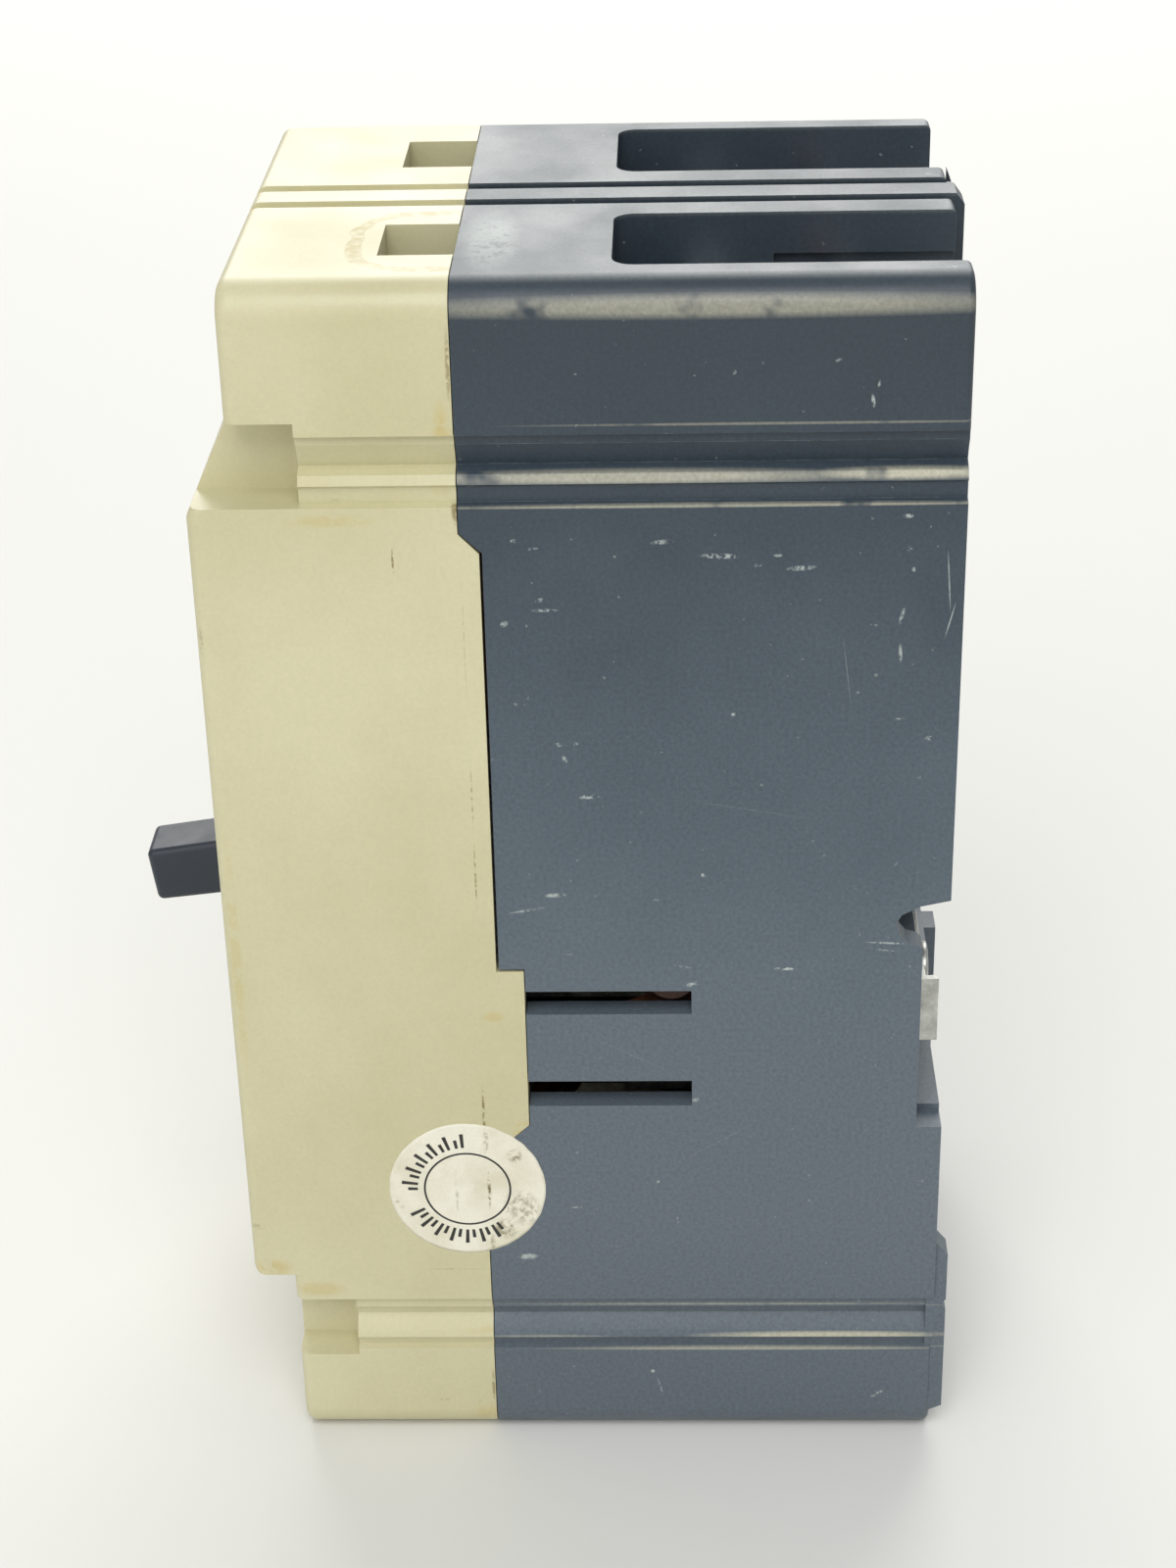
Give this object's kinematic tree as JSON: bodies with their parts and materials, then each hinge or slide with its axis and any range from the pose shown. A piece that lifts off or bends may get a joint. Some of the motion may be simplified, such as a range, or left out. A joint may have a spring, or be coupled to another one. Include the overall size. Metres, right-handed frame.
{
  "type": "molded case breaker",
  "caption": "Two-pole molded case breaker: slate base, ivory cover with raised middle, toggle handle, conductor slots at both ends, full switching and trip mechanism inside.",
  "frame": {"origin": "middle of the mounting plane, on the rear rib, half way up the case", "axes": "+Z to the line end, -Y to the front with the handle, +X to the right seen from the front"},
  "size_m": [0.0701, 0.1055, 0.1604],
  "materials": {
    "slate_moulding": "moulded thermoset, satin, fine grain, scuffed",
    "ivory_moulding": "moulded thermoset, aged ivory, satin",
    "black_moulding": "moulded nylon, satin black",
    "brown_moulding": "moulded phenolic, matt",
    "red_moulding": "moulded nylon, satin red",
    "fibre_sheet": "vulcanised fibre sheet, matt",
    "paper_label": "printed paper label, worn",
    "film_label": "printed plastic film label",
    "zinc_steel": "zinc plated pressed steel",
    "spring_steel": "oil tempered spring wire",
    "screw_steel": "black phosphated steel",
    "lug_aluminium": "tin plated aluminium",
    "copper": "rolled copper",
    "silver_contact": "silver alloy contact tip",
    "bimetal_strip": "rolled bimetal strip"
  },
  "bodies": {
    "housing": {"arc_chute_walls_left": "fibre_sheet", "arc_chute_walls_right": "fibre_sheet", "arc_plates_left": "zinc_steel", "arc_plates_right": "zinc_steel", "armature_pins": "zinc_steel", "base": "slate_moulding", "bimetal_left": "bimetal_strip", "bimetal_right": "bimetal_strip", "braid_left": "copper", "braid_right": "copper", "clip_rivets": "zinc_steel", "cover": "ivory_moulding", "cover_screws": "screw_steel", "cradle": "zinc_steel", "fixed_contact_left": "silver_contact", "fixed_contact_right": "silver_contact", "frame_pins": "zinc_steel", "frame_plate_left": "zinc_steel", "frame_plate_right": "zinc_steel", "frame_screws": "zinc_steel", "latch_plate": "zinc_steel", "line_lug_left": "lug_aluminium", "line_lug_right": "lug_aluminium", "line_terminal_left": "copper", "line_terminal_right": "copper", "load_lug_left": "lug_aluminium", "load_lug_right": "lug_aluminium", "load_terminal_left": "copper", "load_terminal_right": "copper", "lug_screws": "screw_steel", "magnet_yoke_left": "zinc_steel", "magnet_yoke_right": "zinc_steel", "rating_label": "film_label", "rear_clip": "zinc_steel", "seal_label": "paper_label", "trip_bar_spring": "spring_steel", "trip_button_spring": "spring_steel", "trip_frame": "brown_moulding", "upper_link_pin": "zinc_steel", "yoke_pivots": "zinc_steel"},
    "handle": {"handle": "black_moulding", "handle_yoke": "zinc_steel", "toggle_springs": "spring_steel"},
    "crossbar": {"crossbar": "brown_moulding", "arm_pins": "zinc_steel", "contact_springs": "spring_steel", "link_pin": "zinc_steel", "moving_arm_left": "copper", "moving_arm_right": "copper", "moving_contact_left": "silver_contact", "moving_contact_right": "silver_contact"},
    "lower_links": {"lower_links": "zinc_steel", "toggle_pin": "zinc_steel"},
    "upper_links": {"upper_links": "zinc_steel"},
    "trip_bar": {"trip_bar": "brown_moulding", "calibration_screws": "screw_steel"},
    "trip_button": {"trip_button": "red_moulding"},
    "armature_left": {"armature_left": "zinc_steel"},
    "armature_right": {"armature_right": "zinc_steel"}
  },
  "joints": [
    {"name": "handle_throw", "type": "hinge", "parent": "housing", "child": "handle", "pos_m": [0, -0.0456, -0.00345], "axis": [-1, 0, 0], "range_deg": [-9.4, 24.6]},
    {"name": "crossbar_turn", "type": "hinge", "parent": "housing", "child": "crossbar", "pos_m": [0, -0.0356, -0.01015], "axis": [-1, 0, 0], "range_deg": [-7.7, 20.06]},
    {"name": "lower_link_turn", "type": "hinge", "parent": "crossbar", "child": "lower_links", "pos_m": [0, -0.03727, 0.00173], "axis": [-1, 0, 0], "range_deg": [-8.1, 3.16]},
    {"name": "upper_link_turn", "type": "hinge", "parent": "housing", "child": "upper_links", "pos_m": [0, -0.0636, 0.00585], "axis": [-1, 0, 0], "range_deg": [-16.04, 6.19]},
    {"name": "trip_bar_turn", "type": "hinge", "parent": "housing", "child": "trip_bar", "pos_m": [0, -0.0586, -0.04615], "axis": [-1, 0, 0], "range_deg": [0, 17.9], "deforming": ["trip_bar_spring"]},
    {"name": "trip_button_push", "type": "slide", "parent": "housing", "child": "trip_button", "axis": [0, 1, 0], "range_m": [0, 0.002], "stiffness_N_per_m": 300, "springref_m": -0.0008, "deforming": ["trip_button_spring"]},
    {"name": "armature_left_pull", "type": "hinge", "parent": "housing", "child": "armature_left", "pos_m": [0, -0.0206, -0.02915], "axis": [1, 0, 0], "range_deg": [0, 6], "stiffness_Nm_per_rad": 0.03, "springref_deg": -11.46},
    {"name": "armature_right_pull", "type": "hinge", "parent": "housing", "child": "armature_right", "pos_m": [0, -0.0206, -0.02915], "axis": [1, 0, 0], "range_deg": [0, 6], "stiffness_Nm_per_rad": 0.03, "springref_deg": -11.46}
  ],
  "couplings": [
    {"joint": "crossbar_turn", "follows": "handle_throw", "ratio": 0.81301},
    {"joint": "lower_link_turn", "follows": "handle_throw", "ratio": -0.32501},
    {"joint": "upper_link_turn", "follows": "handle_throw", "ratio": -0.648},
    {"joint": "trip_bar_turn", "follows": "trip_button_push", "rad_per_m": 156.2}
  ]
}
